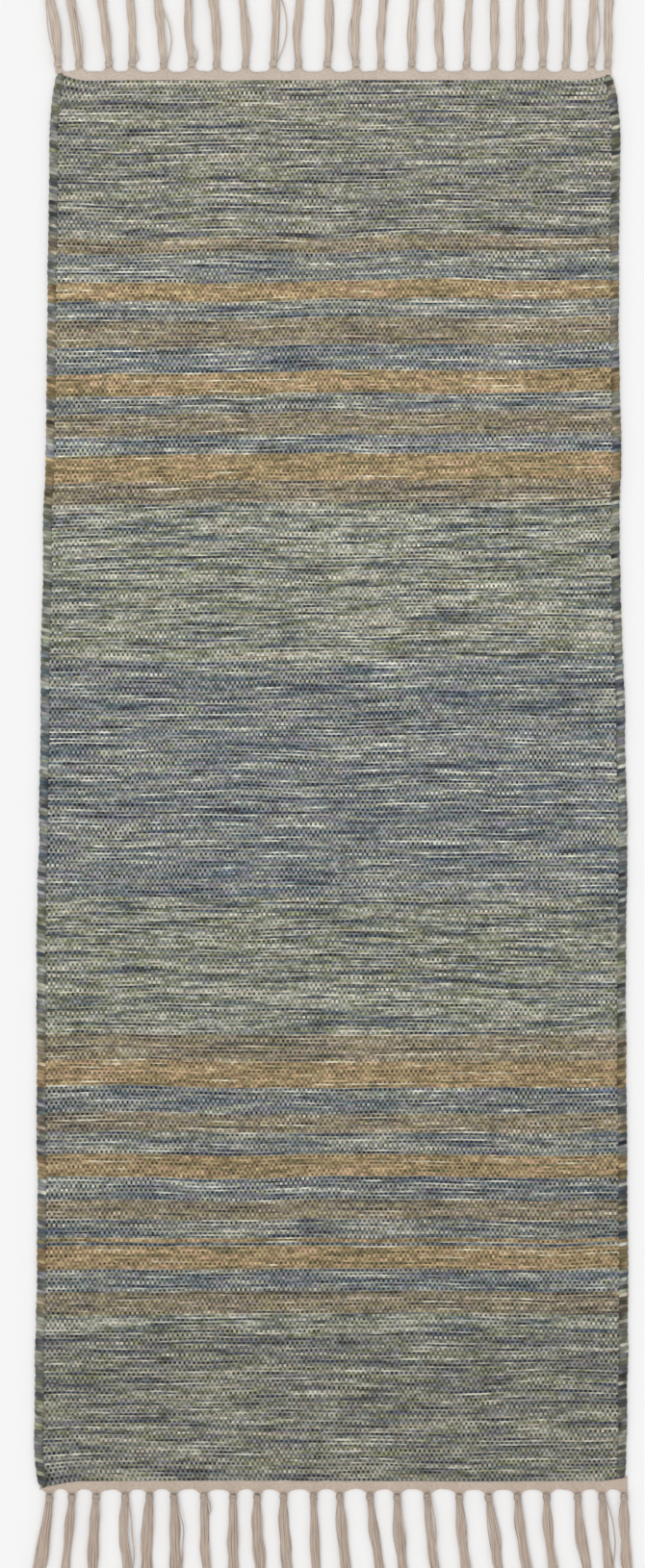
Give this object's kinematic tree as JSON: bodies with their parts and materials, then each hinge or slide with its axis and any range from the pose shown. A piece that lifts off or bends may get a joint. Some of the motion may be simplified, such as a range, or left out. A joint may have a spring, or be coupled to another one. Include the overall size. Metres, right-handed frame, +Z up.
{
  "type": "runner rug",
  "caption": "Flat-woven cotton runner rug with melange stripes, corded selvedges, plain headings and a knotted fringe at both ends.",
  "frame": {"origin": "centre of the underside, on the floor", "axes": "+X across the rug, +Y along its length towards the end that was woven last, +Z up from the floor"},
  "size_m": [0.6296, 1.676, 0.0084],
  "materials": {
    "weave": "melange cotton plain weave",
    "selvedge": "melange cotton wrapped round edge cords",
    "heading": "unbleached cotton, close weave",
    "fringe": "unbleached cotton, plied strands"
  },
  "bodies": {
    "middle": {"weave_middle": "weave", "selvedges_middle": "selvedge"},
    "finish_1": {"weave_finish_1": "weave", "selvedges_finish_1": "selvedge"},
    "finish_2": {"weave_finish_2": "weave", "selvedges_finish_2": "selvedge"},
    "finish_3": {"weave_finish_3": "weave", "selvedges_finish_3": "selvedge", "heading_finish": "heading"},
    "start_1": {"weave_start_1": "weave", "selvedges_start_1": "selvedge"},
    "start_2": {"weave_start_2": "weave", "selvedges_start_2": "selvedge"},
    "start_3": {"weave_start_3": "weave", "selvedges_start_3": "selvedge", "heading_start": "heading"},
    "tassel_finish_01": {"tassel_finish_01": "fringe"},
    "tassel_finish_02": {"tassel_finish_02": "fringe"},
    "tassel_finish_03": {"tassel_finish_03": "fringe"},
    "tassel_finish_04": {"tassel_finish_04": "fringe"},
    "tassel_finish_05": {"tassel_finish_05": "fringe"},
    "tassel_finish_06": {"tassel_finish_06": "fringe"},
    "tassel_finish_07": {"tassel_finish_07": "fringe"},
    "tassel_finish_08": {"tassel_finish_08": "fringe"},
    "tassel_finish_09": {"tassel_finish_09": "fringe"},
    "tassel_finish_10": {"tassel_finish_10": "fringe"},
    "tassel_finish_11": {"tassel_finish_11": "fringe"},
    "tassel_finish_12": {"tassel_finish_12": "fringe"},
    "tassel_finish_13": {"tassel_finish_13": "fringe"},
    "tassel_finish_14": {"tassel_finish_14": "fringe"},
    "tassel_finish_15": {"tassel_finish_15": "fringe"},
    "tassel_finish_16": {"tassel_finish_16": "fringe"},
    "tassel_finish_17": {"tassel_finish_17": "fringe"},
    "tassel_finish_18": {"tassel_finish_18": "fringe"},
    "tassel_finish_19": {"tassel_finish_19": "fringe"},
    "tassel_finish_20": {"tassel_finish_20": "fringe"},
    "tassel_finish_21": {"tassel_finish_21": "fringe"},
    "tassel_finish_22": {"tassel_finish_22": "fringe"},
    "tassel_start_01": {"tassel_start_01": "fringe"},
    "tassel_start_02": {"tassel_start_02": "fringe"},
    "tassel_start_03": {"tassel_start_03": "fringe"},
    "tassel_start_04": {"tassel_start_04": "fringe"},
    "tassel_start_05": {"tassel_start_05": "fringe"},
    "tassel_start_06": {"tassel_start_06": "fringe"},
    "tassel_start_07": {"tassel_start_07": "fringe"},
    "tassel_start_08": {"tassel_start_08": "fringe"},
    "tassel_start_09": {"tassel_start_09": "fringe"},
    "tassel_start_10": {"tassel_start_10": "fringe"},
    "tassel_start_11": {"tassel_start_11": "fringe"},
    "tassel_start_12": {"tassel_start_12": "fringe"},
    "tassel_start_13": {"tassel_start_13": "fringe"},
    "tassel_start_14": {"tassel_start_14": "fringe"},
    "tassel_start_15": {"tassel_start_15": "fringe"},
    "tassel_start_16": {"tassel_start_16": "fringe"},
    "tassel_start_17": {"tassel_start_17": "fringe"},
    "tassel_start_18": {"tassel_start_18": "fringe"},
    "tassel_start_19": {"tassel_start_19": "fringe"},
    "tassel_start_20": {"tassel_start_20": "fringe"},
    "tassel_start_21": {"tassel_start_21": "fringe"},
    "tassel_start_22": {"tassel_start_22": "fringe"}
  },
  "joints": [
    {"name": "fold_finish_1", "type": "hinge", "parent": "middle", "child": "finish_1", "pos_m": [0, 0.10371, 0.005], "axis": [1, 0, 0], "range_deg": [0, 45]},
    {"name": "fold_finish_2", "type": "hinge", "parent": "finish_1", "child": "finish_2", "pos_m": [0, 0.31114, 0.005], "axis": [1, 0, 0], "range_deg": [0, 45]},
    {"name": "fold_finish_3", "type": "hinge", "parent": "finish_2", "child": "finish_3", "pos_m": [0, 0.51857, 0.005], "axis": [1, 0, 0], "range_deg": [0, 45]},
    {"name": "fold_start_1", "type": "hinge", "parent": "middle", "child": "start_1", "pos_m": [0, -0.10371, 0.005], "axis": [-1, 0, 0], "range_deg": [0, 45]},
    {"name": "fold_start_2", "type": "hinge", "parent": "start_1", "child": "start_2", "pos_m": [0, -0.31114, 0.005], "axis": [-1, 0, 0], "range_deg": [0, 45]},
    {"name": "fold_start_3", "type": "hinge", "parent": "start_2", "child": "start_3", "pos_m": [0, -0.51857, 0.005], "axis": [-1, 0, 0], "range_deg": [0, 45]},
    {"name": "swing_finish_01", "type": "hinge", "parent": "finish_3", "child": "tassel_finish_01", "pos_m": [-0.285, 0.7426, 0.0042], "axis": [1, 0, 0], "range_deg": [0, 150]},
    {"name": "swing_finish_02", "type": "hinge", "parent": "finish_3", "child": "tassel_finish_02", "pos_m": [-0.263, 0.7426, 0.0042], "axis": [1, 0, 0], "range_deg": [0, 150]},
    {"name": "swing_finish_03", "type": "hinge", "parent": "finish_3", "child": "tassel_finish_03", "pos_m": [-0.232, 0.7426, 0.0042], "axis": [1, 0, 0], "range_deg": [0, 150]},
    {"name": "swing_finish_04", "type": "hinge", "parent": "finish_3", "child": "tassel_finish_04", "pos_m": [-0.208, 0.7426, 0.0042], "axis": [1, 0, 0], "range_deg": [0, 150]},
    {"name": "swing_finish_05", "type": "hinge", "parent": "finish_3", "child": "tassel_finish_05", "pos_m": [-0.175, 0.7426, 0.0042], "axis": [1, 0, 0], "range_deg": [0, 150]},
    {"name": "swing_finish_06", "type": "hinge", "parent": "finish_3", "child": "tassel_finish_06", "pos_m": [-0.146, 0.7426, 0.0042], "axis": [1, 0, 0], "range_deg": [0, 150]},
    {"name": "swing_finish_07", "type": "hinge", "parent": "finish_3", "child": "tassel_finish_07", "pos_m": [-0.12, 0.7426, 0.0042], "axis": [1, 0, 0], "range_deg": [0, 150]},
    {"name": "swing_finish_08", "type": "hinge", "parent": "finish_3", "child": "tassel_finish_08", "pos_m": [-0.09, 0.7426, 0.0042], "axis": [1, 0, 0], "range_deg": [0, 150]},
    {"name": "swing_finish_09", "type": "hinge", "parent": "finish_3", "child": "tassel_finish_09", "pos_m": [-0.061, 0.7426, 0.0042], "axis": [1, 0, 0], "range_deg": [0, 150]},
    {"name": "swing_finish_10", "type": "hinge", "parent": "finish_3", "child": "tassel_finish_10", "pos_m": [-0.035, 0.7426, 0.0042], "axis": [1, 0, 0], "range_deg": [0, 150]},
    {"name": "swing_finish_11", "type": "hinge", "parent": "finish_3", "child": "tassel_finish_11", "pos_m": [-0.005, 0.7426, 0.0042], "axis": [1, 0, 0], "range_deg": [0, 150]},
    {"name": "swing_finish_12", "type": "hinge", "parent": "finish_3", "child": "tassel_finish_12", "pos_m": [0.025, 0.7426, 0.0042], "axis": [1, 0, 0], "range_deg": [0, 150]},
    {"name": "swing_finish_13", "type": "hinge", "parent": "finish_3", "child": "tassel_finish_13", "pos_m": [0.051, 0.7426, 0.0042], "axis": [1, 0, 0], "range_deg": [0, 150]},
    {"name": "swing_finish_14", "type": "hinge", "parent": "finish_3", "child": "tassel_finish_14", "pos_m": [0.083, 0.7426, 0.0042], "axis": [1, 0, 0], "range_deg": [0, 150]},
    {"name": "swing_finish_15", "type": "hinge", "parent": "finish_3", "child": "tassel_finish_15", "pos_m": [0.113, 0.7426, 0.0042], "axis": [1, 0, 0], "range_deg": [0, 150]},
    {"name": "swing_finish_16", "type": "hinge", "parent": "finish_3", "child": "tassel_finish_16", "pos_m": [0.14, 0.7426, 0.0042], "axis": [1, 0, 0], "range_deg": [0, 150]},
    {"name": "swing_finish_17", "type": "hinge", "parent": "finish_3", "child": "tassel_finish_17", "pos_m": [0.169, 0.7426, 0.0042], "axis": [1, 0, 0], "range_deg": [0, 150]},
    {"name": "swing_finish_18", "type": "hinge", "parent": "finish_3", "child": "tassel_finish_18", "pos_m": [0.194, 0.7426, 0.0042], "axis": [1, 0, 0], "range_deg": [0, 150]},
    {"name": "swing_finish_19", "type": "hinge", "parent": "finish_3", "child": "tassel_finish_19", "pos_m": [0.219, 0.7426, 0.0042], "axis": [1, 0, 0], "range_deg": [0, 150]},
    {"name": "swing_finish_20", "type": "hinge", "parent": "finish_3", "child": "tassel_finish_20", "pos_m": [0.243, 0.7426, 0.0042], "axis": [1, 0, 0], "range_deg": [0, 150]},
    {"name": "swing_finish_21", "type": "hinge", "parent": "finish_3", "child": "tassel_finish_21", "pos_m": [0.27, 0.7426, 0.0042], "axis": [1, 0, 0], "range_deg": [0, 150]},
    {"name": "swing_finish_22", "type": "hinge", "parent": "finish_3", "child": "tassel_finish_22", "pos_m": [0.287, 0.7426, 0.0042], "axis": [1, 0, 0], "range_deg": [0, 150]},
    {"name": "swing_start_01", "type": "hinge", "parent": "start_3", "child": "tassel_start_01", "pos_m": [-0.291, -0.7426, 0.0042], "axis": [-1, 0, 0], "range_deg": [0, 150]},
    {"name": "swing_start_02", "type": "hinge", "parent": "start_3", "child": "tassel_start_02", "pos_m": [-0.268, -0.7426, 0.0042], "axis": [-1, 0, 0], "range_deg": [0, 150]},
    {"name": "swing_start_03", "type": "hinge", "parent": "start_3", "child": "tassel_start_03", "pos_m": [-0.243, -0.7426, 0.0042], "axis": [-1, 0, 0], "range_deg": [0, 150]},
    {"name": "swing_start_04", "type": "hinge", "parent": "start_3", "child": "tassel_start_04", "pos_m": [-0.213, -0.7426, 0.0042], "axis": [-1, 0, 0], "range_deg": [0, 150]},
    {"name": "swing_start_05", "type": "hinge", "parent": "start_3", "child": "tassel_start_05", "pos_m": [-0.188, -0.7426, 0.0042], "axis": [-1, 0, 0], "range_deg": [0, 150]},
    {"name": "swing_start_06", "type": "hinge", "parent": "start_3", "child": "tassel_start_06", "pos_m": [-0.163, -0.7426, 0.0042], "axis": [-1, 0, 0], "range_deg": [0, 150]},
    {"name": "swing_start_07", "type": "hinge", "parent": "start_3", "child": "tassel_start_07", "pos_m": [-0.132, -0.7426, 0.0042], "axis": [-1, 0, 0], "range_deg": [0, 150]},
    {"name": "swing_start_08", "type": "hinge", "parent": "start_3", "child": "tassel_start_08", "pos_m": [-0.102, -0.7426, 0.0042], "axis": [-1, 0, 0], "range_deg": [0, 150]},
    {"name": "swing_start_09", "type": "hinge", "parent": "start_3", "child": "tassel_start_09", "pos_m": [-0.077, -0.7426, 0.0042], "axis": [-1, 0, 0], "range_deg": [0, 150]},
    {"name": "swing_start_10", "type": "hinge", "parent": "start_3", "child": "tassel_start_10", "pos_m": [-0.05, -0.7426, 0.0042], "axis": [-1, 0, 0], "range_deg": [0, 150]},
    {"name": "swing_start_11", "type": "hinge", "parent": "start_3", "child": "tassel_start_11", "pos_m": [-0.019, -0.7426, 0.0042], "axis": [-1, 0, 0], "range_deg": [0, 150]},
    {"name": "swing_start_12", "type": "hinge", "parent": "start_3", "child": "tassel_start_12", "pos_m": [0.008, -0.7426, 0.0042], "axis": [-1, 0, 0], "range_deg": [0, 150]},
    {"name": "swing_start_13", "type": "hinge", "parent": "start_3", "child": "tassel_start_13", "pos_m": [0.039, -0.7426, 0.0042], "axis": [-1, 0, 0], "range_deg": [0, 150]},
    {"name": "swing_start_14", "type": "hinge", "parent": "start_3", "child": "tassel_start_14", "pos_m": [0.067, -0.7426, 0.0042], "axis": [-1, 0, 0], "range_deg": [0, 150]},
    {"name": "swing_start_15", "type": "hinge", "parent": "start_3", "child": "tassel_start_15", "pos_m": [0.098, -0.7426, 0.0042], "axis": [-1, 0, 0], "range_deg": [0, 150]},
    {"name": "swing_start_16", "type": "hinge", "parent": "start_3", "child": "tassel_start_16", "pos_m": [0.131, -0.7426, 0.0042], "axis": [-1, 0, 0], "range_deg": [0, 150]},
    {"name": "swing_start_17", "type": "hinge", "parent": "start_3", "child": "tassel_start_17", "pos_m": [0.161, -0.7426, 0.0042], "axis": [-1, 0, 0], "range_deg": [0, 150]},
    {"name": "swing_start_18", "type": "hinge", "parent": "start_3", "child": "tassel_start_18", "pos_m": [0.191, -0.7426, 0.0042], "axis": [-1, 0, 0], "range_deg": [0, 150]},
    {"name": "swing_start_19", "type": "hinge", "parent": "start_3", "child": "tassel_start_19", "pos_m": [0.221, -0.7426, 0.0042], "axis": [-1, 0, 0], "range_deg": [0, 150]},
    {"name": "swing_start_20", "type": "hinge", "parent": "start_3", "child": "tassel_start_20", "pos_m": [0.253, -0.7426, 0.0042], "axis": [-1, 0, 0], "range_deg": [0, 150]},
    {"name": "swing_start_21", "type": "hinge", "parent": "start_3", "child": "tassel_start_21", "pos_m": [0.278, -0.7426, 0.0042], "axis": [-1, 0, 0], "range_deg": [0, 150]},
    {"name": "swing_start_22", "type": "hinge", "parent": "start_3", "child": "tassel_start_22", "pos_m": [0.301, -0.7426, 0.0042], "axis": [-1, 0, 0], "range_deg": [0, 150]}
  ]
}
